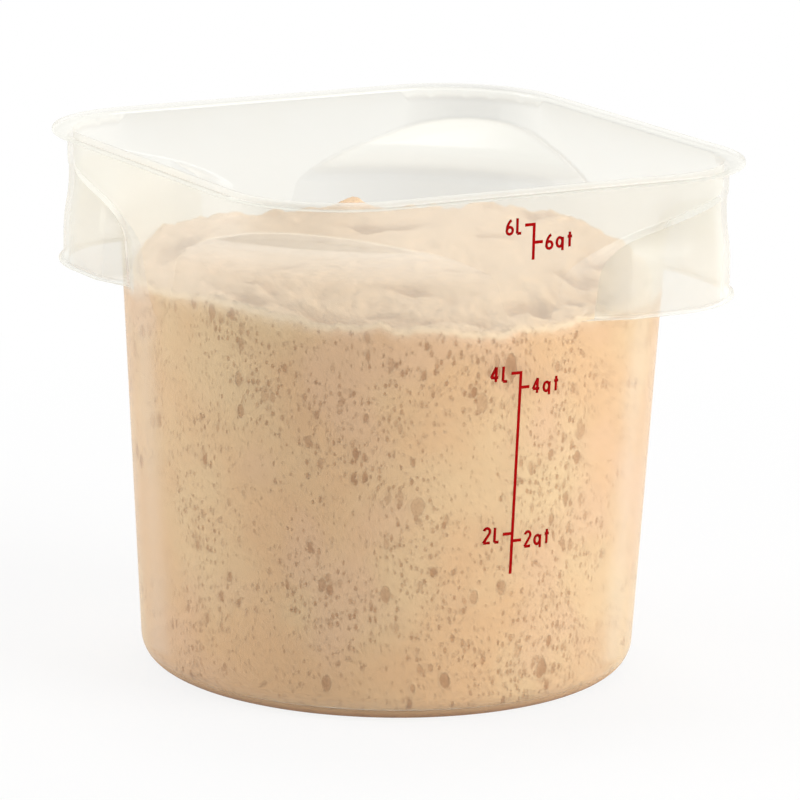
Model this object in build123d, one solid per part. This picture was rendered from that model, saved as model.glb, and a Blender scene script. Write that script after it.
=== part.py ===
"""Dough proofing tub: a round food tub with a square rim and two grip skirts, holding risen dough.

Lengths are in millimetres and angles in degrees. Z is up, and the origin is the middle of the foot, on
the table. The printed scales are on the -Y flat. The grip skirts hang at the (+X, -Y) and (-X, +Y)
corners of the square neck.
"""

from build123d import *
from math import atan, cos, degrees, exp, radians, sin, sqrt, tan
import os

# The whole tub
height = 207.0          # table to the top of the rim
wall = 2.3              # one wall thickness all round, as a moulding has
overrun = 20.0          # how far a cutting shape runs past what it cuts

# Square neck
neck_half = 105.9       # half the width over two flats, at the rim
neck_corner = 43.5      # radius of a corner of the neck, at the rim
neck_draft = 1.0        # slope of the flats from upright

# Round body
side_stand = 0.3        # how far the top of the sloping side is outside half the neck's width
foot_inset = 9.3        # how far the side, carried down to the table, is inside half the neck's width
heel_radius = 10.4      # round between the side and the foot
ring_width = 7.0        # flat of the foot ring that stands on the table
recess_depth = 2.5      # how far the base is lifted inside the foot ring
recess_slope = 30.0     # slope of the recess's edge from upright
floor_thick = 2.6

# Shoulder that swings out from the round body to the corners of the square neck
shoulder_drop = 37.4    # from the rim's top down to where the side begins to swing out
shoulder_round = 16.4   # outer radius of that swing
shoulder_slope = 28.0   # slope of the shoulder above level
crease_round = 3.6      # outer radius of the round between the shoulder and the neck

# Rim flange
rim_overhang = 5.5      # how far the flange stands out from the flats
rim_corner_gain = 4.2   # how much larger the radius of its corner is than the neck's
rim_thick = 2.4
rim_round_share = 0.4   # round on the flange's outer edges, as a share of its thickness
mouth_round = 1.6       # round on the inner edge of the mouth

# Grip skirts
skirt_drop = 53.6       # from the rim's top down to the lower edge
skirt_wall = 2.2
skirt_ledge = 0.4       # step under the neck's wall, at the top of a skirt
skirt_flare = 2.0       # how far the lower part stands out from the top
skirt_upright = 12.6    # height of the upright lower part
skirt_lean = 22.0       # height of the part above it, which leans in
flat_run = 19.9         # from the end of the neck's corner along the flat to a skirt's fold
panel_run = 23.0        # from the fold on along the flat to the buried end of an end panel
fold_round = 10.0
lip_out = 1.9           # small lip along the lower edge
lip_thick = 1.9

# Dough
dough_gap = 0.3         # clearance to the wall and to the floor
headroom = 38.5         # from the rim's top down to the middle of the dough's low dome
dough_rise = 14.5       # height of that middle above the dome's edge at the wall
dough_swell = 9.0       # height of the largest swell on the dome

# Swells and hollows of the dough's top: their places and half widths as shares of the dough's radius, and
# their heights as shares of dough_swell
swell_shares = (
    (0.84, 0.30, 0.50, 1.0),
    (-0.92, -0.30, 0.34, 0.56),
    (-0.50, 0.84, 0.44, 0.86),
    (0.24, 0.72, 0.22, 0.4),
    (-0.34, -0.30, 0.24, 0.35),
    (0.12, -0.66, 0.20, 0.3),
    (0.10, 0.22, 0.20, -0.45),
    (0.08, -0.34, 0.16, -0.35),
    (-0.62, -0.66, 0.18, -0.35),
    (0.46, -0.72, 0.16, -0.3),
    (-0.60, 0.12, 0.20, -0.35),
    (0.12, -1.00, 0.40, -0.25),
)
level_rows = 25         # rows of levels each way that the top's surface runs through

# Printed scales: the lower one is measured up from the table and the upper one down from the rim's top
ink = 0.1               # thickness of the ink film
line_width = 1.2
tick_length = 4.0       # from the middle of the line to a tick's end
lower_line_x = -4.2
lower_line_foot = 58.3
two_quart = 70.7
two_litre = 73.7
four_quart = 130.9
four_litre = 136.7
upper_line_x = -0.8
upper_line_drop = 26.7
six_quart_drop = 20.7
six_litre_drop = 13.8

# Worked out from these
floor_top = recess_depth + floor_thick
foot_radius = neck_half - foot_inset
shoulder_start = height - shoulder_drop
draft = degrees(atan((side_stand + foot_inset) / shoulder_start))
rim_half = neck_half + rim_overhang
rim_corner = neck_corner + rim_corner_gain
skirt_bottom = height - skirt_drop
bend_low = skirt_bottom + skirt_upright
bend_high = bend_low + skirt_lean
skirt_half = neck_half - (height - bend_high) * tan(radians(neck_draft)) - skirt_ledge + skirt_flare
skirt_corner = neck_corner + skirt_half - neck_half
fold_place = neck_half - neck_corner - flat_run
panel_end = fold_place - panel_run
dough_crown = height - headroom
dough_edge = dough_crown - dough_rise
corner_reach = sqrt(2) * (neck_half - neck_corner) + neck_corner


def side_radius(level, grow=0.0):
    """Radius of the sloping side at a height, with the skin moved out by grow."""
    return foot_radius + level * tan(radians(draft)) + grow / cos(radians(draft))


def heel_centre():
    return Vector(side_radius(heel_radius, -heel_radius), heel_radius)


def swing_centre():
    return Vector(side_radius(shoulder_start, shoulder_round), shoulder_start)


def shoulder_point(grow):
    """Where the swing ends and the shoulder runs on straight."""
    climb = radians(shoulder_slope)
    return swing_centre() + (shoulder_round - grow) * Vector(-sin(climb), cos(climb))


def crease_point(grow):
    """Where the shoulder meets a corner of the neck, but for the neck's slight draft."""
    brow, reach = shoulder_point(grow), corner_reach + grow
    return Vector(reach, brow.Y + (reach - brow.X) * tan(radians(shoulder_slope)))


def revolved(edges):
    """Solid of revolution about Z of a closed outline of (radius, height)."""
    return revolve(Plane.XZ * make_face(Curve() + edges), Axis.Z)


def turned_body(grow):
    """The round body and its shoulder, closed above the rim, with the skin moved out by grow."""
    slope, climb = radians(draft), radians(shoulder_slope)
    heel, swing = heel_centre(), swing_centre()
    heel_size, swing_size = heel_radius + grow, shoulder_round - grow
    heel_mid, swing_mid = radians(45), (slope + radians(90) - climb) / 2
    foot = Vector(heel.X, heel.Y - heel_size)
    heel_bulge = heel + heel_size * Vector(sin(heel_mid), -cos(heel_mid))
    side_low = heel + heel_size * Vector(cos(slope), -sin(slope))
    side_high = swing + swing_size * Vector(-cos(slope), sin(slope))
    swing_bulge = swing + swing_size * Vector(-cos(swing_mid), sin(swing_mid))
    brow = shoulder_point(grow)
    reach, ceiling = corner_reach + overrun, height + 2 * overrun
    edge = brow + (reach - brow.X) * Vector(1, tan(climb))
    return revolved([
        Line((0, foot.Y), foot),
        ThreePointArc(foot, heel_bulge, side_low),
        Line(side_low, side_high),
        ThreePointArc(side_high, swing_bulge, brow),
        Polyline(brow, edge, (reach, ceiling), (0, ceiling), (0, foot.Y)),
    ])


def neck_prism(grow):
    """The square neck carried down past the foot, with its faces moved out by grow."""
    wider = grow + overrun * tan(radians(neck_draft))
    width = 2 * (neck_half + wider)
    top = Plane.XY.offset(height + overrun) * RectangleRounded(width, width, neck_corner + wider)
    return extrude(top, -(height + 2 * overrun), taper=neck_draft)


def slab(low, high):
    """Everything between two heights."""
    width = 2 * (corner_reach + overrun)
    return Pos(0, 0, low) * Box(width, width, high - low, align=(Align.CENTER, Align.CENTER, Align.MIN))


def form(grow, low, high):
    """What lies inside the tub's outer skin between two heights, the skin moved out by grow."""
    skin = turned_body(grow) & neck_prism(grow)
    crease = crease_point(grow)
    corners = [Vector(crease.X, 0, crease.Y).rotate(Axis.Z, turn) for turn in (45, 135, 225, 315)]
    creases = [skin.edges().sort_by_distance(corner)[0] for corner in corners]
    return fillet(creases, crease_round + grow) & slab(low, high)


def skirt_section():
    """Cut through a skirt's wall: x runs out from its outer face, y is height."""
    top = crease_point(0).Y + wall
    edges = []
    for face in (0, -skirt_wall):
        middle = (face - skirt_flare / 2, (bend_low + bend_high) / 2)
        lean_out = TangentArc((face, bend_low), middle, tangent=(0, 1))
        lean_back = TangentArc(middle, (face - skirt_flare, bend_high), tangent=lean_out % 1)
        edges += [lean_out, lean_back, Line((face - skirt_flare, bend_high), (face - skirt_flare, top))]
    lip_top, lip_middle = skirt_bottom + lip_thick, skirt_bottom + lip_thick / 2
    bead = lip_out - lip_thick / 2
    edges += [
        Line((-skirt_flare, top), (-skirt_flare - skirt_wall, top)),
        Polyline((0, bend_low), (0, lip_top), (bead, lip_top)),
        ThreePointArc((bead, lip_top), (lip_out, lip_middle), (bead, skirt_bottom)),
        Polyline((bead, skirt_bottom), (-skirt_wall, skirt_bottom), (-skirt_wall, bend_low)),
    ]
    return make_face(Curve() + edges)


def skirt():
    """Grip skirt of the (+X, -Y) corner, with its two end panels run into the body's wall."""
    buried = side_radius(skirt_bottom) - wall / 2 - lip_out
    end = Vector(panel_end, -sqrt(buried**2 - panel_end**2))
    fold = Vector(fold_place, -skirt_half)
    places = [end, fold, Vector(skirt_half, -skirt_half), Vector(-fold.Y, -fold.X), Vector(-end.Y, -end.X)]
    path = FilletPolyline(*places, radius=[fold_round, skirt_corner, fold_round])
    inward = (end - fold).normalized()
    outward = Vector(0, 0, 1).cross(inward)
    return sweep(Plane(end, x_dir=outward, z_dir=inward) * skirt_section(), path=path)


def rim():
    """Flat flange round the mouth."""
    blank = Plane.XY.offset(height) * RectangleRounded(2 * rim_half, 2 * rim_half, rim_corner)
    flange = extrude(blank, -rim_thick)
    levels = flange.faces().sort_by(Axis.Z)
    return fillet(levels[-1].edges() + levels[0].edges(), rim_round_share * rim_thick)


def base_recess():
    """Shallow recess under the base, inside the foot ring."""
    edge = heel_centre().X - ring_width
    top = edge - recess_depth * tan(radians(recess_slope))
    return revolved([Polyline((0, 0), (edge, 0), (top, recess_depth), (0, recess_depth), (0, 0))])


def tub():
    """The one-piece moulding."""
    handle = skirt()
    outside = form(0, 0, height) + handle + Rot(0, 0, 180) * handle + rim()
    moulding = outside - form(-wall, floor_top, height + overrun) - base_recess()
    mouth = moulding.faces().filter_by(Plane.XY).sort_by(Axis.Z)[-1].inner_wires()[0]
    return fillet(mouth.edges(), mouth_round)


def dough_level(x, y):
    """Height of the dough's top at a place: a low dome with swells and hollows."""
    side = side_radius(dough_edge, -wall - dough_gap)
    level = dough_crown - dough_rise * (x**2 + y**2) / side**2
    for share_x, share_y, width_share, height_share in swell_shares:
        away = ((x / side - share_x)**2 + (y / side - share_y)**2) / width_share**2
        level += height_share * dough_swell * exp(-away)
    return level


def dough():
    """The risen dough: pressed against the wall, with an uneven domed top."""
    reach = corner_reach + overrun
    rows = [reach * (2 * row / (level_rows - 1) - 1) for row in range(level_rows)]
    levels = [[(x, y, dough_level(x, y)) for x in rows] for y in rows]
    room_above = extrude(Face.make_surface_from_array_of_points(levels), height, dir=(0, 0, 1))
    return form(-wall - dough_gap, floor_top + dough_gap, height) - room_above


def stroke(left, right, low, high):
    """A block through the -Y wall, which cuts one printed stroke out of the ink film."""
    return Pos(left, 0, low) * Box(right - left, rim_half, high - low, align=(Align.MIN, Align.MAX, Align.MIN))


def scale(x, foot, litres, quarts):
    """Ink film of one printed scale: an upright line, litre ticks to its left and quart ticks to its right."""
    half = line_width / 2
    strokes = stroke(x - half, x + half, foot - half, max(litres) + half)
    for level in litres:
        strokes += stroke(x - tick_length, x, level - half, level + half)
    for level in quarts:
        strokes += stroke(x, x + tick_length, level - half, level + half)
    low, high = foot - line_width, max(litres) + line_width
    return form(ink, low, high) & strokes - form(0, low - overrun, high + overrun)


nodes = {
    "tub": tub(),
    "dough": dough(),
    "lower_scale": scale(lower_line_x, lower_line_foot, [two_litre, four_litre], [two_quart, four_quart]),
    "upper_scale": scale(
        upper_line_x, height - upper_line_drop, [height - six_litre_drop], [height - six_quart_drop],
    ),
}

os.makedirs("parts", exist_ok=True)
for name, shape in nodes.items():
    export_step(shape, f"parts/{name}.step")
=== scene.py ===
"""Looks of the dough proofing tub: milky see-through plastic, risen dough pressed against it, and red print.

Lengths are in metres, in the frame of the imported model: Z is up, and the middle of the foot is at the origin.
"""

import math
import random

import bmesh
import bpy
from mathutils import Matrix, Vector, noise
from mathutils.bvhtree import BVHTree


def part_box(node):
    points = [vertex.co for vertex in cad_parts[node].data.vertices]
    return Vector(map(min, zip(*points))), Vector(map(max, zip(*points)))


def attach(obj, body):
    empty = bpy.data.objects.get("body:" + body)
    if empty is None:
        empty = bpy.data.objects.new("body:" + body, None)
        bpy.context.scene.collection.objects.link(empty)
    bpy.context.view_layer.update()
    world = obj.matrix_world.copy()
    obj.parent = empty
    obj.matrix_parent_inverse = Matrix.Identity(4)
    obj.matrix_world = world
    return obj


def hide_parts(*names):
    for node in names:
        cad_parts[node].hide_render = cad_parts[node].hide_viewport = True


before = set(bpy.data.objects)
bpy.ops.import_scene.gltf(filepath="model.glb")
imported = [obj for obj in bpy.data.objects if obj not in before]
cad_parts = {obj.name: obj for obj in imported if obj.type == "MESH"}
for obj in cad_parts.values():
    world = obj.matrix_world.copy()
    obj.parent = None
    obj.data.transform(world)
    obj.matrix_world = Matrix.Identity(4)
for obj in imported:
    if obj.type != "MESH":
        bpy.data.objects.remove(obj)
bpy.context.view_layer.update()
MM = 0.001
WHITE = (1.0, 1.0, 1.0, 1.0)

tub_low, tub_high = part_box("tub")
dough_low, dough_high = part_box("dough")
scene = bpy.context.scene


# Camera, at the photograph's place

FRAME_WIDTH_MM, LENS_MM = 36.0, 234.85
CAMERA_DISTANCE = 2049.5 * MM
CAMERA_RISE, CAMERA_TURN, CAMERA_ROLL = math.radians(13.22), math.radians(-30.161), math.radians(1.0469)
TARGET_RIGHT, TARGET_UP = 3.704 * MM, 103.62 * MM
VIEW_END = 20.0


def aim_camera():
    """Long lens from a little above, turned towards the (-X, -Y) corner."""
    turn = Matrix.Rotation(CAMERA_TURN, 3, "Z")
    back = turn @ Vector((0, -math.cos(CAMERA_RISE), math.sin(CAMERA_RISE)))
    right = turn @ Vector((1, 0, 0))
    up = back.cross(right)
    target = TARGET_RIGHT * right + TARGET_UP * Vector((0, 0, 1))
    rolled_right = math.cos(CAMERA_ROLL) * right + math.sin(CAMERA_ROLL) * up
    rolled_up = math.cos(CAMERA_ROLL) * up - math.sin(CAMERA_ROLL) * right
    data = bpy.data.cameras.new("camera")
    data.lens, data.sensor_width = LENS_MM, FRAME_WIDTH_MM
    data.sensor_fit = "HORIZONTAL"
    data.clip_end = VIEW_END
    camera = bpy.data.objects.new("camera", data)
    axes = Matrix((rolled_right, rolled_up, back)).transposed()
    camera.matrix_world = Matrix.Translation(target + CAMERA_DISTANCE * back) @ axes.to_4x4()
    scene.collection.objects.link(camera)
    scene.camera = camera
    return right, back


# Materials

def new_material(name):
    """A material with an empty node tree and its output."""
    material = bpy.data.materials.new(name)
    material.use_nodes = True
    tree = material.node_tree
    tree.nodes.clear()
    return material, tree, tree.nodes.new("ShaderNodeOutputMaterial")


def node(tree, kind, values=None, **settings):
    """A node with its settings, and its inputs set or linked by name or number."""
    made = tree.nodes.new(kind)
    for key, value in settings.items():
        setattr(made, key, value)
    for key, value in (values or {}).items():
        socket = made.inputs[key]
        if isinstance(value, bpy.types.NodeSocket):
            tree.links.new(value, socket)
        else:
            socket.default_value = value
    return made


def maths(tree, operation, first, second=0.0, clamp=False):
    """Result of one sum on two values."""
    made = node(tree, "ShaderNodeMath", {0: first, 1: second}, operation=operation, use_clamp=clamp)
    return made.outputs[0]


def blended(tree, factor, first, second, way="MIX"):
    """Colour mixed from two by a factor."""
    mix = node(tree, "ShaderNodeMix", {"Factor": factor}, data_type="RGBA", blend_type=way)
    for socket, colour in ((mix.inputs[6], first), (mix.inputs[7], second)):
        if isinstance(colour, bpy.types.NodeSocket):
            tree.links.new(colour, socket)
        else:
            socket.default_value = colour
    return mix.outputs[2]


def stepped(tree, value, low, high, start=0.0, stop=1.0):
    """Smooth step of a value from one range to another."""
    ranged = node(
        tree, "ShaderNodeMapRange",
        {"Value": value, "From Min": low, "From Max": high, "To Min": start, "To Max": stop},
        interpolation_type="SMOOTHSTEP",
    )
    return ranged.outputs[0]


def clouds(tree, place, scale, detail=2.0, roughness=0.5):
    """Cloudy noise at a scale given in cycles a metre."""
    return node(
        tree, "ShaderNodeTexNoise",
        {"Vector": place, "Scale": scale, "Detail": detail, "Roughness": roughness},
    )


def rgb(red, green, blue):
    """Linear colour from the 0 to 255 values of a screen colour."""
    def linear(v):
        v /= 255
        return v / 12.92 if v <= 0.04045 else ((v + 0.055) / 1.055) ** 2.4
    return (linear(red), linear(green), linear(blue), 1.0)


# Milky plastic: a haze where light leaves the wall, and a veil and a soft gloss where it comes in.
# Each has its share where the skin is seen square on, what an edge adds to it, and the power that keeps that
# near the edge.

HAZE, HAZE_WARM = rgb(222, 221, 218), rgb(219, 216, 208)
HAZE_SHARE, HAZE_EDGE, HAZE_POWER = 0.48, 0.20, 2.5
HAZE_TURN, HAZE_TURNED, HAZE_BACK = 0.55, 0.80, 0.8     # where an edge's haze is lit from the near side
VEIL = rgb(243, 241, 234)
VEIL_SHARE, VEIL_EDGE, VEIL_POWER = 0.05, 0.26, 3.0
GLOSS_SHARE, GLOSS_EDGE, GLOSS_POWER, GLOSS_ROUGH = 0.024, 0.20, 5.0, 0.20
CLEAR_TINT = rgb(254, 254, 252)
LAMP_PASS = rgb(246, 245, 241)
WAVE_SCALE, WAVE_BUMP, WAVE_DEPTH = 35.0, 0.10, 4.0 * MM

# Bending of the view by a wall seen edge on, below the shoulder
BEND = 1.45
BEND_FROM, BEND_FULL = 0.50, 0.78
BEND_LOW, BEND_HIGH = 148.0 * MM, 156.0 * MM
HEEL_FULL, HEEL_CLEAR = 10.0 * MM, 14.0 * MM            # below this the heel bends the view from any side

# The foot ring's dough tone, which is painted light carried into the heel from the dough with painted shade at
# its very bottom, by height and by distance from the middle
FOOT_PAINTED_DOUGH_LIGHT, FOOT_PAINTED_SHADE = rgb(232, 194, 150), rgb(168, 122, 86)
FOOT_FULL, FOOT_CLEAR, FOOT_SHARE, FOOT_BLEND = 3.4 * MM, 6.6 * MM, 0.76, 0.2
FOOT_INSIDE, FOOT_OUTSIDE = 81.0 * MM, 83.0 * MM

# The shoulder, which lies open to the light from above; its upward faces take a lighter colour, which is
# painted light
SHELF_PAINTED_LIGHT = rgb(240, 239, 235)
SHELF_STEEP, SHELF_FLAT = 0.1, 0.6
SHELF_LOW, SHELF_HIGH = 100.0 * MM, 110.0 * MM

# The milkier grip skirts, by how far x is from y and by height
SKIRT_NEAR, SKIRT_FAR = 128.0 * MM, 150.0 * MM
SKIRT_BOTTOM, SKIRT_FULL = 152.4 * MM, 153.0 * MM
SKIRT_FADE, SKIRT_TOP, SKIRT_SHARE = 170.0 * MM, 192.0 * MM, 0.17


def rising(tree, facing, share, edge, power):
    """A share that grows towards the places where a skin is seen edge on."""
    grown = maths(tree, "MULTIPLY", maths(tree, "POWER", facing, power), edge)
    return maths(tree, "ADD", share, grown, clamp=True)


def plastic_material():
    """Milky see-through polypropylene.

    A little light is thrown back where it comes into the wall, and more is spread where it goes out of it.
    The shoulder is lit from above and its upward faces take a lighter colour as painted light, and the grip
    skirts are milkier than the walls.
    A wall seen edge on bends the view into itself, so the dough fills it out to its outline, and the foot
    takes on the dough's tone as painted light, darker at its very bottom as painted shade.
    The lamps and the light between the pieces pass straight through.
    """
    material, tree, output = new_material("milky_polypropylene")
    place = node(tree, "ShaderNodeTexCoord").outputs["Object"]
    waves = clouds(tree, place, WAVE_SCALE).outputs[0]
    fine = node(tree, "ShaderNodeBump", {"Height": waves, "Strength": WAVE_BUMP, "Distance": WAVE_DEPTH})
    tone = blended(tree, waves, HAZE, HAZE_WARM)
    facing = node(tree, "ShaderNodeLayerWeight", {"Blend": 0.5}).outputs["Facing"]
    parts = node(tree, "ShaderNodeSeparateXYZ", {0: place}).outputs
    level = parts[2]
    geometry = node(tree, "ShaderNodeNewGeometry").outputs
    upward = node(tree, "ShaderNodeSeparateXYZ", {0: geometry["Normal"]}).outputs[2]

    across = maths(tree, "ABSOLUTE", maths(tree, "SUBTRACT", parts[0], parts[1]))
    skirt = maths(
        tree, "MULTIPLY", stepped(tree, level, SKIRT_BOTTOM, SKIRT_FULL),
        stepped(tree, level, SKIRT_FADE, SKIRT_TOP, SKIRT_SHARE, 0.0),
    )
    skirt = maths(tree, "MULTIPLY", skirt, stepped(tree, across, SKIRT_NEAR, SKIRT_FAR))
    flattened = node(tree, "ShaderNodeVectorMath", {0: place, 1: (1.0, 1.0, 0.0)}, operation="MULTIPLY")
    reach = node(tree, "ShaderNodeVectorMath", {0: flattened.outputs[0]}, operation="LENGTH").outputs["Value"]
    foot = maths(
        tree, "MULTIPLY", stepped(tree, level, FOOT_FULL, FOOT_CLEAR, FOOT_SHARE, 0.0),
        stepped(tree, reach, FOOT_INSIDE, FOOT_OUTSIDE),
    )
    shelf = maths(
        tree, "MULTIPLY", stepped(tree, upward, SHELF_STEEP, SHELF_FLAT),
        stepped(tree, level, SHELF_LOW, SHELF_HIGH),
    )

    clear = node(tree, "ShaderNodeBsdfTransparent", {"Color": CLEAR_TINT})
    bent = node(tree, "ShaderNodeBsdfRefraction", {"Color": CLEAR_TINT, "Roughness": 0.0, "IOR": BEND})
    edge_on = maths(
        tree, "MULTIPLY", stepped(tree, facing, BEND_FROM, BEND_FULL),
        stepped(tree, level, BEND_LOW, BEND_HIGH, 1.0, 0.0),
    )
    bending = maths(tree, "MAXIMUM", edge_on, stepped(tree, level, HEEL_FULL, HEEL_CLEAR, 1.0, 0.0))
    glassy = node(tree, "ShaderNodeMixShader", {0: bending, 1: clear.outputs[0], 2: bent.outputs[0]})
    # Painted light: the dough's tone carried into the heel, darker towards the very bottom as painted shade
    foot_painted_light = blended(tree, stepped(tree, level, 0.0, FOOT_CLEAR), FOOT_PAINTED_SHADE, FOOT_PAINTED_DOUGH_LIGHT)
    veil_tone = blended(tree, stepped(tree, foot, 0.0, FOOT_BLEND), VEIL, foot_painted_light)
    veil = node(tree, "ShaderNodeBsdfDiffuse", {"Color": veil_tone, "Normal": fine.outputs[0]})
    veil_share = maths(tree, "ADD", rising(tree, facing, VEIL_SHARE, VEIL_EDGE, VEIL_POWER), skirt)
    veil_share = maths(tree, "MAXIMUM", veil_share, foot)
    veiled = node(tree, "ShaderNodeMixShader", {0: veil_share, 1: glassy.outputs[0], 2: veil.outputs[0]})
    gloss = node(tree, "ShaderNodeBsdfGlossy", {"Roughness": GLOSS_ROUGH, "Normal": fine.outputs[0]})
    gloss_share = rising(tree, facing, GLOSS_SHARE, GLOSS_EDGE, GLOSS_POWER)
    entering = node(tree, "ShaderNodeMixShader", {0: gloss_share, 1: veiled.outputs[0], 2: gloss.outputs[0]})

    through = node(tree, "ShaderNodeBsdfTranslucent", {"Color": tone})
    # Upward faces of the shoulder take a lighter colour, which is painted light
    back = node(tree, "ShaderNodeBsdfDiffuse", {"Color": blended(tree, shelf, tone, SHELF_PAINTED_LIGHT)})
    back_share = maths(tree, "MAXIMUM", stepped(tree, facing, HAZE_TURN, HAZE_TURNED, 0.0, HAZE_BACK), shelf)
    haze = node(tree, "ShaderNodeMixShader", {0: back_share, 1: through.outputs[0], 2: back.outputs[0]})
    haze_share = rising(tree, facing, HAZE_SHARE, HAZE_EDGE, HAZE_POWER)
    leaving = node(tree, "ShaderNodeMixShader", {0: haze_share, 1: clear.outputs[0], 2: haze.outputs[0]})

    skin = node(
        tree, "ShaderNodeMixShader",
        {0: geometry["Backfacing"], 1: entering.outputs[0], 2: leaving.outputs[0]},
    )
    passing = node(tree, "ShaderNodeBsdfTransparent", {"Color": LAMP_PASS})
    path = node(tree, "ShaderNodeLightPath")
    unseen = maths(tree, "MAXIMUM", path.outputs["Is Shadow Ray"], path.outputs["Is Diffuse Ray"])
    mixed = node(tree, "ShaderNodeMixShader", {0: unseen, 1: skin.outputs[0], 2: passing.outputs[0]})
    tree.links.new(mixed.outputs[0], output.inputs[0])
    return material


def ink_material():
    """Red screen print, thin in places, which is too near the dough to throw a shadow on it."""
    material, tree, output = new_material("red_print")
    place = node(tree, "ShaderNodeTexCoord").outputs["Object"]
    patches = clouds(tree, place, 700.0, 3.0)
    tone = blended(tree, stepped(tree, patches.outputs[0], 0.35, 0.7), rgb(143, 1, 3), rgb(157, 2, 6))
    bump = node(tree, "ShaderNodeBump", {"Height": patches.outputs[0], "Strength": 0.15, "Distance": 0.0002})
    skin = node(
        tree, "ShaderNodeBsdfPrincipled",
        {"Base Color": tone, "Roughness": 0.7, "Specular IOR Level": 0.05, "Normal": bump.outputs[0]},
    )
    passing = node(tree, "ShaderNodeBsdfTransparent", {"Color": WHITE})
    shadow = node(tree, "ShaderNodeLightPath").outputs["Is Shadow Ray"]
    mixed = node(tree, "ShaderNodeMixShader", {0: shadow, 1: skin.outputs[0], 2: passing.outputs[0]})
    tree.links.new(mixed.outputs[0], output.inputs[0])
    return material


# Dough colours, and how much of each the patches, marks and folds take; among them are a painted highlight and
# painted shades

DOUGH_TAN = rgb(241, 196, 150)
DOUGH_PALE = rgb(245, 211, 168)
DOUGH_PINK = rgb(243, 200, 164)
DOUGH_TOP = rgb(237, 205, 170)
# Painted highlight, for the top's edge and the bubbles' rims
DOUGH_HIGHLIGHT = rgb(255, 226, 188)
# Painted shade, for the top's folds, creases and dips
FOLD_SHADE = rgb(176, 138, 100)
# Painted shade, for the inside of the bubbles
BUBBLE_SHADE = rgb(178, 121, 69)
PINK_SHARE, EDGE_HIGHLIGHT_SHARE, FOLD_SHADE_SHARE, RIM_HIGHLIGHT_SHARE = 0.7, 0.85, 0.8, 0.35
SPECKLE_DARK, SPECKLE_LIGHT = 0.96, 1.03

# Noise scales in cycles a metre, and how far the soft ones push things about
PATCH_SCALE, PINK_SCALE, CREASE_SCALE, SPECKLE_SCALE = 17.0, 26.0, 150.0, 420.0
SWAY_SCALE, SWAY, SIDE_SWAY = 22.0, 12.0 * MM, 9.0 * MM
JITTER = 0.4 * MM

# Bubbles against the wall: where noise crowds them and thins them out, and the sparse part round the back
CROWD_SCALE, CROWD_FROM, CROWD_TO, CROWD_THIN, CROWD_FULL = 30.0, 0.36, 0.58, -0.10, 0.04
SPARSE_FROM, SPARSE_TO, SPARSE = 75.0 * MM, 125.0 * MM, -0.09
BUBBLE_SIZES = (
    # cell in mm, height over width, least and most radius as shares of the cell, blur, strength
    (2.2, 1.7, 0.03, 0.31, 0.03, 1.00),
    (4.6, 1.9, -0.22, 0.27, 0.02, 1.00),
    (12.0, 1.7, -0.44, 0.23, 0.02, 0.90),
)
FAINTEST = 0.4                      # how dark the faintest bubble is, as a share of the darkest
LEAST_RIMMED, FULL_RIMMED = 0.02, 0.08      # radius as a share of the cell, from which a bubble has a rim
SEAM_TURN = math.radians(120)


def unrolled(tree, place):
    """The dough's side laid flat: the way round the wall and the height, with the seam at the back."""
    turned = node(tree, "ShaderNodeMapping", {"Vector": place, "Rotation": (0.0, 0.0, SEAM_TURN)}).outputs[0]
    parts = node(tree, "ShaderNodeSeparateXYZ", {0: turned}).outputs
    round_way = maths(tree, "MULTIPLY", maths(tree, "ARCTAN2", parts[1], parts[0]), SIDE_RADIUS)
    return node(tree, "ShaderNodeCombineXYZ", {0: round_way, 1: parts[2]}).outputs[0]


def pushed(tree, place, scale, amount):
    """Places pushed about by soft noise."""
    noisy = clouds(tree, place, scale, 2.0).outputs["Color"]
    centred = node(tree, "ShaderNodeVectorMath", {0: noisy, 1: (0.5, 0.5, 0.5)}, operation="SUBTRACT")
    pull = node(tree, "ShaderNodeVectorMath", {0: centred.outputs[0], "Scale": amount}, operation="SCALE")
    return node(tree, "ShaderNodeVectorMath", {0: place, 1: pull.outputs[0]}, operation="ADD").outputs[0]


def bubble_layer(tree, flat, crowd, cell, stretch, least, most, blur, strength):
    """One size of bubble, taller than wide: its mask, which takes painted shade, and its rim, which takes a
    painted highlight.
    """
    scaled = node(tree, "ShaderNodeMapping", {"Vector": flat, "Scale": (1.0, 1.0 / stretch, 1.0)}).outputs[0]
    cells = node(
        tree, "ShaderNodeTexVoronoi", {"Vector": scaled, "Scale": 1.0 / (cell * MM)},
        feature="F1", voronoi_dimensions="2D",
    )
    chances = node(tree, "ShaderNodeSeparateColor", {"Color": cells.outputs["Color"]}).outputs
    size = maths(tree, "ADD", maths(tree, "MULTIPLY", chances[0], most - least), least)
    size = maths(tree, "ADD", size, crowd)
    over = maths(tree, "SUBTRACT", cells.outputs["Distance"], size)
    deep = maths(tree, "ADD", maths(tree, "MULTIPLY", chances[1], 1 - FAINTEST), FAINTEST)
    deep = maths(tree, "MULTIPLY", deep, strength)
    mask = maths(tree, "MULTIPLY", stepped(tree, over, -blur, blur, 1.0, 0.0), deep)
    wider = stepped(tree, over, blur, 3 * blur, 1.0, 0.0)
    there = stepped(tree, size, LEAST_RIMMED, FULL_RIMMED)
    return mask, maths(tree, "MULTIPLY", maths(tree, "SUBTRACT", wider, mask, clamp=True), there)


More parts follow.
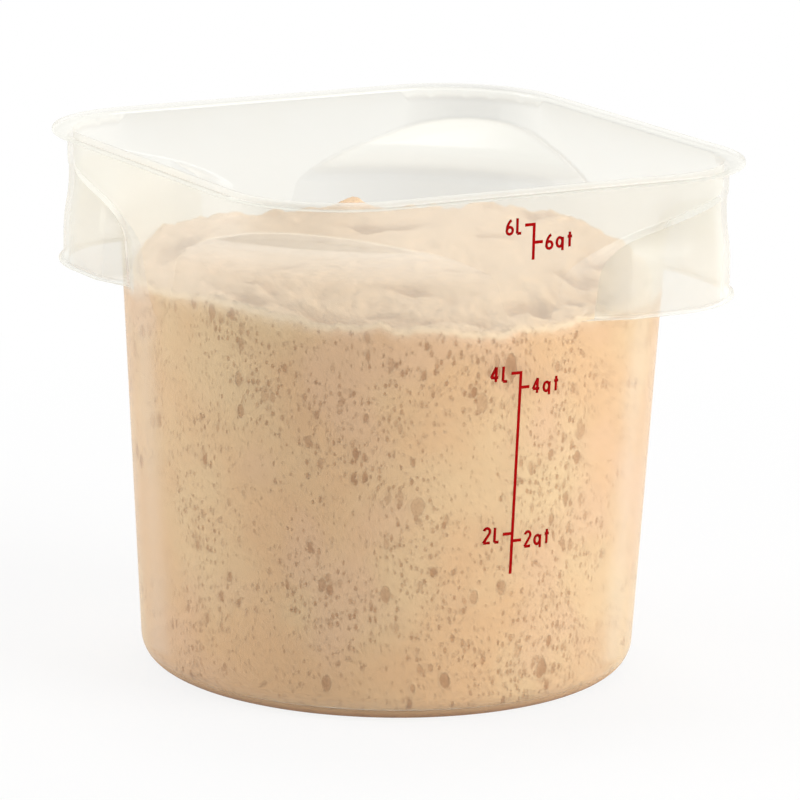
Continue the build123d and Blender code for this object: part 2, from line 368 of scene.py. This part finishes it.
def dough_material():
    """Risen wheat dough: bubbles against the wall, a paler floury skin on top, painted shade in the bubbles and
    folds, and painted highlights on the edge and bubble rims.
    """
    material, tree, output = new_material("risen_dough")
    place = node(tree, "ShaderNodeTexCoord").outputs["Object"]
    swayed = pushed(tree, place, SWAY_SCALE, SWAY)
    flat = pushed(tree, unrolled(tree, place), SWAY_SCALE, SIDE_SWAY)
    flat = pushed(tree, flat, SPECKLE_SCALE, JITTER)
    crowd = clouds(tree, place, CROWD_SCALE).outputs[0]
    crowd = stepped(tree, crowd, CROWD_FROM, CROWD_TO, CROWD_THIN, CROWD_FULL)
    round_way = node(tree, "ShaderNodeSeparateXYZ", {0: flat}).outputs[0]
    sparse = stepped(tree, maths(tree, "ABSOLUTE", round_way), SPARSE_FROM, SPARSE_TO, 0.0, SPARSE)
    crowd = maths(tree, "ADD", crowd, sparse)
    top = node(tree, "ShaderNodeAttribute", attribute_name="top").outputs["Fac"]
    edge = node(tree, "ShaderNodeAttribute", attribute_name="ridge").outputs["Fac"]
    hollow = node(tree, "ShaderNodeAttribute", attribute_name="hollow").outputs["Fac"]
    fold = node(tree, "ShaderNodeAttribute", attribute_name="fold").outputs["Fac"]

    # The large bubbles take painted shade inside and a painted highlight round their rims
    pits = stepped(tree, hollow, 0.5, 1.1, 0.75, 0.0)
    rims = stepped(tree, hollow, 1.04, 1.3, 0.6, 0.0)
    rims = maths(tree, "MULTIPLY", rims, stepped(tree, hollow, 0.98, 1.06))
    for size in BUBBLE_SIZES:
        mask, rim = bubble_layer(tree, flat, crowd, *size)
        pits = maths(tree, "MAXIMUM", pits, mask)
        rims = maths(tree, "MAXIMUM", rims, rim)
    unmarked = maths(tree, "MAXIMUM", top, maths(tree, "MULTIPLY", edge, 0.7))
    side = maths(tree, "SUBTRACT", 1.0, unmarked, clamp=True)
    pits = maths(tree, "MULTIPLY", pits, side)
    rims = maths(tree, "MULTIPLY", rims, side)

    patches = clouds(tree, place, PATCH_SCALE, 3.0)
    rosy = clouds(tree, swayed, PINK_SCALE, 1.0)
    mottle = clouds(tree, place, SPECKLE_SCALE, 3.0, 0.6)
    tone = blended(tree, stepped(tree, patches.outputs[0], 0.38, 0.66), DOUGH_TAN, DOUGH_PALE)
    tone = blended(tree, stepped(tree, rosy.outputs[0], 0.50, 0.70, 0.0, PINK_SHARE), tone, DOUGH_PINK)
    tone = blended(tree, top, tone, DOUGH_TOP)
    # Painted highlight along the top's edge
    tone = blended(tree, maths(tree, "MULTIPLY", edge, EDGE_HIGHLIGHT_SHARE), tone, DOUGH_HIGHLIGHT)
    # Painted shade in the top's folds
    tone = blended(tree, maths(tree, "MULTIPLY", fold, FOLD_SHADE_SHARE), tone, FOLD_SHADE)
    # Painted highlight round the bubbles' rims, then painted shade inside the bubbles
    tone = blended(tree, maths(tree, "MULTIPLY", rims, RIM_HIGHLIGHT_SHARE), tone, DOUGH_HIGHLIGHT)
    tone = blended(tree, pits, tone, BUBBLE_SHADE)
    speckle = stepped(tree, mottle.outputs[0], 0.3, 0.7, SPECKLE_DARK, SPECKLE_LIGHT)
    grey = node(tree, "ShaderNodeCombineColor", {0: speckle, 1: speckle, 2: speckle}).outputs[0]
    tone = blended(tree, 1.0, tone, grey, "MULTIPLY")

    depth = maths(tree, "SUBTRACT", maths(tree, "MULTIPLY", rims, 0.2), pits)
    pitted = node(tree, "ShaderNodeBump", {"Height": depth, "Strength": 0.6, "Distance": 0.0012})
    creases = clouds(tree, swayed, CREASE_SCALE, 4.0, 0.65)
    wrinkled = node(
        tree, "ShaderNodeBump",
        {"Height": maths(tree, "MULTIPLY", creases.outputs[0], top), "Strength": 0.7, "Distance": 0.005,
         "Normal": pitted.outputs[0]},
    )
    grained = node(
        tree, "ShaderNodeBump",
        {"Height": maths(tree, "MULTIPLY", mottle.outputs[0], top), "Strength": 0.2, "Distance": 0.0005,
         "Normal": wrinkled.outputs[0]},
    )
    skin = node(
        tree, "ShaderNodeBsdfPrincipled",
        {"Base Color": tone, "Roughness": 0.62, "Specular IOR Level": 0.3, "Normal": grained.outputs[0]},
    )
    tree.links.new(skin.outputs[0], output.inputs[0])
    return material


# Risen dough

DRAFT = math.radians(3.24)          # slope of the tub's side
SIDE_CLEAR = 0.08 * MM              # how far the modelled dough stays inside its plain solid
HEEL = 7.8 * MM                     # round at the dough's foot, cut off by the floor
HEEL_CENTRE = 10.4 * MM             # height of that round's centre
EDGE_LEVEL = 152.0 * MM             # where the side begins to round over, before the top gets its swells
EDGE_ROUND = 1.5 * MM               # round between the side and the top
STRETCH_LEVEL = 95.0 * MM           # above this the side is stretched to meet the uneven top
SIDE_RADIUS = dough_high.x - SIDE_CLEAR
SPOKES = 480
SIDE_ROWS, HEEL_ROWS, ROUND_ROWS, TOP_ROWS = 90, 6, 5, 76
FOOT_ROWS = (0.0, 0.12, 0.25, 0.4, 0.55, 0.7, 0.85, 1.0)
MERGE = 0.01 * MM


def side_radius(level):
    """Radius of the dough's side at a height."""
    return SIDE_RADIUS - (dough_high.z - level) * math.tan(DRAFT)


def arc_rows(centre, radius, start, stop, rows):
    """Points after the first on an arc in the half section, from one turn above level to another."""
    points = []
    for row in range(1, rows + 1):
        turn = start + (stop - start) * row / rows
        points.append(centre + radius * Vector((math.cos(turn), math.sin(turn))))
    return points


def dough_outline():
    """Half section of the dough from the middle of its foot, up its side and in over a flat top."""
    heel = Vector((side_radius(HEEL_CENTRE) - HEEL, HEEL_CENTRE))
    dip = math.asin((HEEL_CENTRE - dough_low.z) / HEEL)
    corner = heel + HEEL * Vector((math.cos(dip), -math.sin(dip)))
    points = [Vector((share * corner.x, dough_low.z)) for share in FOOT_ROWS]
    points += arc_rows(heel, HEEL, -dip, 0.0, HEEL_ROWS)
    for row in range(1, SIDE_ROWS + 1):
        left = 1 - row / SIDE_ROWS
        level = EDGE_LEVEL - (EDGE_LEVEL - heel.y) * (0.7 * left + 0.3 * left * left)
        points.append(Vector((side_radius(level), level)))
    turn_centre = Vector((side_radius(EDGE_LEVEL) - EDGE_ROUND, EDGE_LEVEL))
    points += arc_rows(turn_centre, EDGE_ROUND, 0.0, math.radians(90), ROUND_ROWS)
    for row in range(1, TOP_ROWS + 1):
        inward = row / TOP_ROWS
        reach = turn_centre.x * (1 - 0.6 * inward - 0.4 * inward * inward)
        points.append(Vector((reach, EDGE_LEVEL + EDGE_ROUND)))
    return points


def spun(outline, steps):
    """Closed skin of revolution of a half section about Z."""
    mesh = bmesh.new()
    verts = [mesh.verts.new((p.x, 0, p.y)) for p in outline]
    edges = [mesh.edges.new(pair) for pair in zip(verts, verts[1:])]
    bmesh.ops.spin(
        mesh, geom=verts + edges, cent=(0, 0, 0), axis=(0, 0, 1), angle=math.tau, steps=steps, use_merge=True,
    )
    bmesh.ops.remove_doubles(mesh, verts=mesh.verts, dist=MERGE)
    bmesh.ops.recalc_face_normals(mesh, faces=mesh.faces)
    return mesh


def ramp(value, low, high):
    """0 below low, 1 above high, and smooth between."""
    share = min(max((value - low) / (high - low), 0.0), 1.0)
    return share * share * (3 - 2 * share)


def skin_of(name):
    """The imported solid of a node, ready for finding where a line meets it."""
    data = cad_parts[name].data
    return BVHTree.FromPolygons([v.co for v in data.vertices], [p.vertices for p in data.polygons])


# Folds and torn hollows of the top: place, half length and half width in mm, turn in degrees, depth in mm
FOLDS = (
    (-66, -70, 16, 3.0, -46, 2.6),
    (-22, -92, 10, 2.4, -8, 2.4),
    (52, -76, 11, 2.6, 32, 2.6),
    (-84, -42, 12, 2.4, -66, 2.2),
    (-46, -76, 12, 2.2, -30, 2.2),
    (-40, -87, 14, 2.6, -18, 2.6),
    (8, -88, 9, 4.5, 20, 3.6),
    (30, -84, 15, 3.0, 14, 2.6),
    (4, -52, 12, 3.6, -30, 3.0),
    (-30, -62, 16, 2.6, -36, 2.0),
    (-78, -30, 14, 2.6, -62, 2.2),
    (-58, -18, 12, 3.2, -30, 2.0),
    (12, 34, 18, 5.5, -28, 3.6),
    (40, -10, 12, 2.8, -24, 2.2),
    (46, -60, 12, 3.6, -20, 2.6),
    (66, -44, 14, 3.8, 40, 2.8),
    (-20, 6, 16, 2.8, -32, 2.0),
    (78, 20, 14, 3.6, 60, 2.4),
    (-66, 50, 18, 3.8, 36, 2.6),
    (36, 56, 14, 3.4, -50, 2.2),
)
TIP = Vector((24.5, 73.5)) * MM
TIP_WIDTH, TIP_HEIGHT = 6.5 * MM, 3.4 * MM


def fold_depth(x, y):
    """How deep the placed folds and hollows go at a place on the top."""
    sway = noise.noise(Vector((x, y, 0)) * 60) * 5 * MM
    depth = 0.0
    for fold_x, fold_y, long, wide, turn, deep in FOLDS:
        across, along = x - fold_x * MM, y - fold_y * MM
        turn = math.radians(turn)
        u = (across * math.cos(turn) + along * math.sin(turn)) / (long * MM)
        v = (along * math.cos(turn) - across * math.sin(turn) + sway) / (wide * MM)
        if abs(u) < 2.5 and abs(v) < 3:
            steep = v if v < 0 else 0.55 * v
            depth += deep * MM * math.exp(-u * u - steep * steep)
    return depth


def fine_top(x, y):
    """Rise of the folds and wrinkles over the plain solid's top, and how much painted shade a place takes in
    them.
    """
    spot = Vector((x, y, 0))
    warped = spot + noise.noise_vector(spot * 40) * 5 * MM
    swell = noise.fractal(spot * 45, 1.0, 2.0, 2) * 0.8 * MM
    crease = noise.ridged_multi_fractal(warped * 42 + Vector((3.1, 7.7, 0)), 0.9, 2.1, 3, 0.9, 2.0) - 1.0
    wrinkle = noise.turbulence(warped * 130 + Vector((0, 0, 4.2)), 3, False)
    tip = math.exp(-((Vector((x, y)) - TIP).length / TIP_WIDTH) ** 2) * TIP_HEIGHT
    placed = fold_depth(x, y)
    lively = 1 + 1.0 * ramp(spot.length, 55 * MM, 90 * MM)
    lumps = noise.fractal(warped * 75 + Vector((5.3, 0, 0)), 0.8, 2.1, 3) * lively
    depth = placed + (0.9 * crease + 1.1 * wrinkle) * lively * MM - lumps * MM
    # Painted shade, darker in the placed folds, the creases and the dips between lumps
    shade = ramp(placed, 0.3 * MM, 2.6 * MM) + 0.5 * ramp(crease, 0.0, 0.8) + 0.45 * ramp(-lumps, 0.25, 1.4)
    return swell - depth + tip, shade


# Swells of the edge: place and spread round the tub in degrees, and rise in mm
EDGE_SWELLS = ((-131, 15, 2.3), (-100, 8, -1.0))


def ragged_edge(angle):
    """How much the dough's edge creeps up the wall or sags, round the tub."""
    spot = Vector((math.cos(angle), math.sin(angle), 0))
    quick = noise.fractal(spot * 13 + Vector((0, 0, 2.7)), 0.6, 2.1, 5) * 1.7 * MM
    for place, spread, rise in EDGE_SWELLS:
        quick += rise * MM * math.exp(-((math.degrees(angle) - place) / spread) ** 2)
    return quick + abs(noise.noise(spot * 40)) * 1.6 * MM


LARGE_BUBBLES = 44
BUBBLE_WIDTHS = (1.6, 1.7, 1.9, 2.2, 2.6)


def large_bubbles():
    """Places, half sizes, leans and depths of the large bubbles against the wall."""
    dice = random.Random(11)
    bubbles = []
    while len(bubbles) < LARGE_BUBBLES:
        angle, level = dice.uniform(0, math.tau), dice.uniform(9, 148) * MM
        crowd = noise.noise(Vector((math.cos(angle) * 3.0, math.sin(angle) * 3.0, level * 30)))
        if crowd < dice.uniform(-0.5, 0.35):
            continue
        width = dice.choice(BUBBLE_WIDTHS) * MM
        tall = width * dice.uniform(1.2, 2.4)
        lean = math.radians(dice.gauss(-8, 14))
        bubbles.append((angle, level, width, tall, lean, 0.5 * width))
    return bubbles


SMOOTHINGS = 6


def lift_top(mesh):
    """Raises the flat top and the side's upper part to the swells of the plain solid, then smooths them."""
    solid = skin_of("dough")
    flat_level = EDGE_LEVEL + EDGE_ROUND
    reach = side_radius(EDGE_LEVEL) - EDGE_ROUND
    above = []
    for vert in mesh.verts:
        place = Vector((vert.co.x, vert.co.y))
        if place.length > reach:
            place *= reach / place.length
        if vert.co.z > STRETCH_LEVEL:
            spot = solid.ray_cast(Vector((place.x, place.y, 2 * dough_high.z)), Vector((0, 0, -1)))[0]
            vert.co.z += (spot.z - flat_level) * ramp(vert.co.z, STRETCH_LEVEL, EDGE_LEVEL)
            above.append(vert)
    for turn in range(SMOOTHINGS):
        bmesh.ops.smooth_vert(
            mesh, verts=above, factor=0.5, use_axis_x=False, use_axis_y=False, use_axis_z=True,
        )


# Grid on the side that finds the points near a bubble: its steps round the dough in radians and up in metres
GRID_TURN, GRID_RISE = 0.1, 0.01
NO_BUBBLE = 2.0
HEEL_TOP = 8 * MM


def press_bubbles(mesh, hollow_mark):
    """Sinks the large bubbles into the side and notes each point's distance from one, with its edge at 1."""
    grid = {}
    for vert in mesh.verts:
        reach = math.hypot(vert.co.x, vert.co.y)
        vert[hollow_mark] = NO_BUBBLE
        if vert.co.z > HEEL_TOP and reach > side_radius(vert.co.z) - 1 * MM:
            angle = math.atan2(vert.co.y, vert.co.x)
            place = int(angle // GRID_TURN), int(vert.co.z / GRID_RISE)
            grid.setdefault(place, []).append((vert, angle, reach))
    for angle, level, width, tall, lean, depth in large_bubbles():
        middle, height = int(angle // GRID_TURN), int(level / GRID_RISE)
        for column in range(middle - 1, middle + 2):
            for row in range(height - 1, height + 2):
                for vert, own_angle, reach in grid.get((column, row), ()):
                    across = (own_angle - angle) * reach
                    up = vert.co.z - level
                    u = (across * math.cos(lean) + up * math.sin(lean)) / width
                    v = (up * math.cos(lean) - across * math.sin(lean)) / tall
                    away = math.hypot(u, v)
                    vert[hollow_mark] = min(vert[hollow_mark], away)
                    if away < 1:
                        sink = depth * (1 - away * away) ** 0.5 / reach
                        vert.co.x *= 1 - sink
                        vert.co.y *= 1 - sink


# Start of noise_vector, which Blender otherwise takes from the clock
NOISE_SEED = 11


def shape_dough(mesh):
    """Moves the spun skin's points into the real dough's shape and notes what each point is."""
    noise.seed_set(NOISE_SEED)
    top_mark = mesh.verts.layers.float.new("top")
    ridge_mark = mesh.verts.layers.float.new("ridge")
    hollow_mark = mesh.verts.layers.float.new("hollow")
    fold_shade_mark = mesh.verts.layers.float.new("fold")
    side = side_radius(EDGE_LEVEL)
    for vert in mesh.verts:
        reach = math.hypot(vert.co.x, vert.co.y)
        vert[top_mark] = ramp(vert.co.z, EDGE_LEVEL, EDGE_LEVEL + EDGE_ROUND) * ramp(side - reach, 0, 3 * MM)
        # The ridge, where the top's edge meets the wall, takes a painted highlight
        vert[ridge_mark] = ramp(vert.co.z, EDGE_LEVEL - 0.4 * MM, EDGE_LEVEL + 0.2 * MM)
        vert[ridge_mark] *= ramp(reach, side - 1.9 * MM, side - 0.9 * MM)
    lift_top(mesh)
    for vert in mesh.verts:
        if vert.co.z > STRETCH_LEVEL:
            reach = math.hypot(vert.co.x, vert.co.y)
            inside = ramp(side - reach, 1 * MM, 8 * MM)
            rise = ragged_edge(math.atan2(vert.co.y, vert.co.x)) * (1 - inside)
            if inside > 0:
                lift, fold = fine_top(vert.co.x, vert.co.y)
                rise += lift * inside
                # How much painted shade the top's folds give a point
                vert[fold_shade_mark] = min(fold, 1.0) * inside * vert[top_mark]
            vert.co.z += rise * ramp(vert.co.z, STRETCH_LEVEL, EDGE_LEVEL - 6 * MM)
    press_bubbles(mesh, hollow_mark)
    for vert in mesh.verts:
        vert.co.x = min(max(vert.co.x, -SIDE_RADIUS), SIDE_RADIUS)
        vert.co.y = min(max(vert.co.y, -SIDE_RADIUS), SIDE_RADIUS)


def finished(mesh, name, material):
    """A smooth-shaded mesh object at the origin from a bmesh."""
    data = bpy.data.meshes.new(name)
    mesh.to_mesh(data)
    mesh.free()
    data.materials.append(material)
    data.polygons.foreach_set("use_smooth", [True] * len(data.polygons))
    piece = bpy.data.objects.new(name, data)
    scene.collection.objects.link(piece)
    return piece


def make_dough(material):
    """The dough that shows, in place of its plain solid."""
    mesh = spun(dough_outline(), SPOKES)
    shape_dough(mesh)
    piece = finished(mesh, "risen_dough", material)
    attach(piece, "dough")
    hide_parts("dough")


# Print

STROKE = 1.1 * MM                   # width of the pen
DIGIT_HEIGHT = 5.8 * MM
WORD_GAP = 1.6 * MM                 # from a tick's end to its word
FILM = 0.1 * MM                     # how far the print's face stands off the wall
FILM_THICK = 0.09 * MM
CAP_STEPS = 8
LINE_HALF = 0.6 * MM                # half the width of a tick

# How far each tick is below the highest one of its scale
SIX_QUART_DROP, FOUR_QUART_DROP = 6.9 * MM, 5.8 * MM
TWO_LITRE_DROP, TWO_QUART_DROP = 63.0 * MM, 66.0 * MM


def arc(centre_x, centre_y, wide, tall, start, stop, steps=14):
    """Points along part of an oval, with angles in degrees."""
    points = []
    for step in range(steps + 1):
        turn = math.radians(start + (stop - start) * step / steps)
        points.append((centre_x + wide * math.cos(turn), centre_y + tall * math.sin(turn)))
    return points


# Each letter's width and its strokes along the middle of the pen, with the digits' height as 1
LETTERS = {
    "6": (0.44, [
        arc(0.22, 0.23, 0.22, 0.23, 0, 360, 24),
        [(0.02, 0.30)] + arc(0.62, 0.24, 0.62, 0.76, 165, 118, 8),
    ]),
    "4": (0.50, [[(0.34, 0.0), (0.34, 1.0)], [(0.34, 1.0), (0.0, 0.30)], [(0.0, 0.30), (0.50, 0.30)]]),
    "2": (0.44, [arc(0.22, 0.76, 0.21, 0.24, 165, -35, 14) + [(0.0, 0.0)], [(0.0, 0.0), (0.46, 0.0)]]),
    "L": (0.30, [[(0.0, 1.0), (0.0, 0.0)], [(0.0, 0.0), (0.30, 0.0)]]),
    "q": (0.46, [arc(0.21, 0.36, 0.21, 0.30, 0, 360, 24), [(0.44, 0.68), (0.44, -0.20)]]),
    "t": (0.34, [[(0.17, 0.0), (0.17, 0.98)], [(0.0, 0.68), (0.34, 0.68)]]),
}
LETTER_GAP = 0.34


def stroke_sides(points, half):
    """Points along both sides of a pen's path, and whether the path closes on itself."""
    path = [Vector(p) for p in points]
    closed = (path[0] - path[-1]).length < 0.01 * half
    if closed:
        path.pop()
    left, right = [], []
    for here, p in enumerate(path):
        before = path[here - 1] if here or closed else p
        after = path[(here + 1) % len(path)] if here + 1 < len(path) or closed else p
        run = (after - before).normalized()
        side = Vector((-run.y, run.x)) * half
        left.append(p + side)
        right.append(p - side)
    return left, right, closed


def round_end(first, last):
    """Points of the half circle between the two sides of a stroke's end."""
    centre, reach = (first + last) / 2, (first - last) / 2
    start = math.atan2(reach.y, reach.x)
    turns = [start - math.pi * step / CAP_STEPS for step in range(1, CAP_STEPS)]
    return [centre + reach.length * Vector((math.cos(turn), math.sin(turn))) for turn in turns]


def wall_finder():
    """Function that gives the place and normal of the tub's -Y wall at x and z."""
    skin = skin_of("tub")

    def find(x, z):
        spot, normal, _, _ = skin.ray_cast(Vector((x, 2 * tub_low.y, z)), Vector((0, 1, 0)))
        return spot, normal
    return find


def write(text, start_x, base_z, find, mesh):
    """Adds the strokes of a word, laid on the wall, to a mesh."""
    x = start_x
    for letter in text:
        width, strokes = LETTERS[letter]
        for number, points in enumerate(strokes):
            thick = FILM + number * FILM / 8

            def corner(p):
                spot, normal = find(p.x, p.y)
                return mesh.verts.new(spot + normal * thick)

            placed = [(x + px * DIGIT_HEIGHT, base_z + pz * DIGIT_HEIGHT) for px, pz in points]
            left, right, closed = stroke_sides(placed, STROKE / 2)
            lefts, rights = [corner(p) for p in left], [corner(p) for p in right]
            for here in range(len(left) if closed else len(left) - 1):
                after = (here + 1) % len(left)
                mesh.faces.new((lefts[here], rights[here], rights[after], lefts[after]))
            if not closed:
                mesh.faces.new([lefts[-1], rights[-1]] + [corner(p) for p in round_end(right[-1], left[-1])])
                mesh.faces.new([rights[0], lefts[0]] + [corner(p) for p in round_end(left[0], right[0])])
        x += (width + LETTER_GAP) * DIGIT_HEIGHT


def word_width(text):
    """Width of a word from the middle of its first stroke to its last's."""
    return sum(LETTERS[letter][0] + LETTER_GAP for letter in text) * DIGIT_HEIGHT - LETTER_GAP * DIGIT_HEIGHT


def make_print(material):
    """The numbers beside the scales' ticks."""
    find = wall_finder()
    lower_low, lower_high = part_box("lower_scale")
    upper_low, upper_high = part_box("upper_scale")
    six_litre, four_litre = upper_high.z - LINE_HALF, lower_high.z - LINE_HALF
    words = (
        ("6L", upper_low.x, six_litre, -1),
        ("6qt", upper_high.x, six_litre - SIX_QUART_DROP, 1),
        ("4L", lower_low.x, four_litre, -1),
        ("4qt", lower_high.x, four_litre - FOUR_QUART_DROP, 1),
        ("2L", lower_low.x, four_litre - TWO_LITRE_DROP, -1),
        ("2qt", lower_high.x, four_litre - TWO_QUART_DROP, 1),
    )
    mesh = bmesh.new()
    for text, tick_end, level, way in words:
        start = tick_end + WORD_GAP if way > 0 else tick_end - WORD_GAP - word_width(text)
        write(text, start, level - DIGIT_HEIGHT / 2, find, mesh)
    for face in mesh.faces:
        face.normal_update()
    bmesh.ops.reverse_faces(mesh, faces=[face for face in mesh.faces if face.normal.y > 0])
    piece = finished(mesh, "scale_numbers", material)
    solid = piece.modifiers.new("film", "SOLIDIFY")
    solid.thickness = FILM_THICK
    solid.offset = -1.0
    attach(piece, "tub")


# Tub

SHARP = math.radians(35)
TUB_MERGE = 0.002 * MM


def make_tub(material):
    """The moulding that shows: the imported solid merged, smooth over its curves and flat on its flats."""
    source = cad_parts["tub"]
    mesh = bmesh.new()
    mesh.from_mesh(source.data)
    bmesh.ops.remove_doubles(mesh, verts=mesh.verts, dist=TUB_MERGE)
    piece = finished(mesh, "tub_moulding", material)
    piece.data.set_sharp_from_angle(angle=SHARP)
    weighting = piece.modifiers.new("flat_walls", "WEIGHTED_NORMAL")
    weighting.mode = "FACE_AREA"
    weighting.keep_sharp = True
    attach(piece, "tub")
    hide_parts("tub")


# Studio

SKY_STRENGTH = 0.55
FLOOR_SIZE = 6.0
SHADOW_NEAR, SHADOW_FAR, SHADOW_SHARE = 0.2, 0.6, 0.18


def seen_rays(tree):
    """1 for the rays that find a white surround: those of the camera, of gloss and through the plastic."""
    path = node(tree, "ShaderNodeLightPath")
    seen = maths(tree, "MAXIMUM", path.outputs["Is Camera Ray"], path.outputs["Is Glossy Ray"])
    return maths(tree, "MAXIMUM", seen, path.outputs["Is Transmission Ray"])


def make_world():
    """White to the eye, and soft even light for the object."""
    world = bpy.data.worlds.new("studio")
    world.use_nodes = True
    scene.world = world
    tree = world.node_tree
    tree.nodes.clear()
    output = tree.nodes.new("ShaderNodeOutputWorld")
    lit = node(tree, "ShaderNodeBackground", {"Color": WHITE, "Strength": SKY_STRENGTH})
    shown = node(tree, "ShaderNodeBackground", {"Color": WHITE, "Strength": 1.0})
    mixed = node(tree, "ShaderNodeMixShader", {0: seen_rays(tree), 1: lit.outputs[0], 2: shown.outputs[0]})
    tree.links.new(mixed.outputs[0], output.inputs[0])


def make_floor():
    """White table, which keeps a faint shadow near the object and is plain white further off."""
    material, tree, output = new_material("white_table")
    place = node(tree, "ShaderNodeTexCoord").outputs["Object"]
    away = node(tree, "ShaderNodeVectorMath", {0: place}, operation="LENGTH").outputs["Value"]
    shadow = stepped(tree, away, SHADOW_NEAR, SHADOW_FAR, SHADOW_SHARE, 0.0)
    matt = node(tree, "ShaderNodeBsdfDiffuse", {"Color": (0.8, 0.8, 0.8, 1.0)})
    glow = node(tree, "ShaderNodeEmission", {"Color": WHITE, "Strength": 1.0})
    seen = node(tree, "ShaderNodeMixShader", {0: shadow, 1: glow.outputs[0], 2: matt.outputs[0]})
    mixed = node(tree, "ShaderNodeMixShader", {0: seen_rays(tree), 1: matt.outputs[0], 2: seen.outputs[0]})
    tree.links.new(mixed.outputs[0], output.inputs[0])
    mesh = bmesh.new()
    bmesh.ops.create_grid(mesh, x_segments=1, y_segments=1, size=FLOOR_SIZE / 2)
    floor = finished(mesh, "table", material)


def lamp(name, place, size, power):
    """A square soft lamp aimed at the middle of the tub."""
    data = bpy.data.lights.new(name, "AREA")
    data.shape, data.size, data.energy = "SQUARE", size, power
    made = bpy.data.objects.new(name, data)
    aim = Vector((0, 0, tub_high.z / 2)) - place
    made.matrix_world = Matrix.Translation(place) @ aim.to_track_quat("-Z", "Y").to_matrix().to_4x4()
    scene.collection.objects.link(made)


def make_studio(right, back):
    """Key light from the photograph's right, fill from its left and a broad light overhead."""
    up = Vector((0, 0, 1))
    level_back = Vector((back.x, back.y, 0)).normalized()
    lamp("key", 1.6 * right + 0.7 * level_back + 0.8 * up, 1.2, 30.0)
    lamp("fill", -1.8 * right - 0.2 * level_back + 0.6 * up, 1.2, 19.0)
    lamp("overhead", -0.6 * level_back + 1.7 * up, 0.6, 7.5)
    make_world()
    make_floor()


# Everything

scene.view_settings.view_transform = "Standard"
camera_right, camera_back = aim_camera()
make_studio(camera_right, camera_back)
ink = ink_material()
for name in ("lower_scale", "upper_scale"):
    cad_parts[name].data.materials.clear()
    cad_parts[name].data.materials.append(ink)
make_tub(plastic_material())
make_dough(dough_material())
make_print(ink)
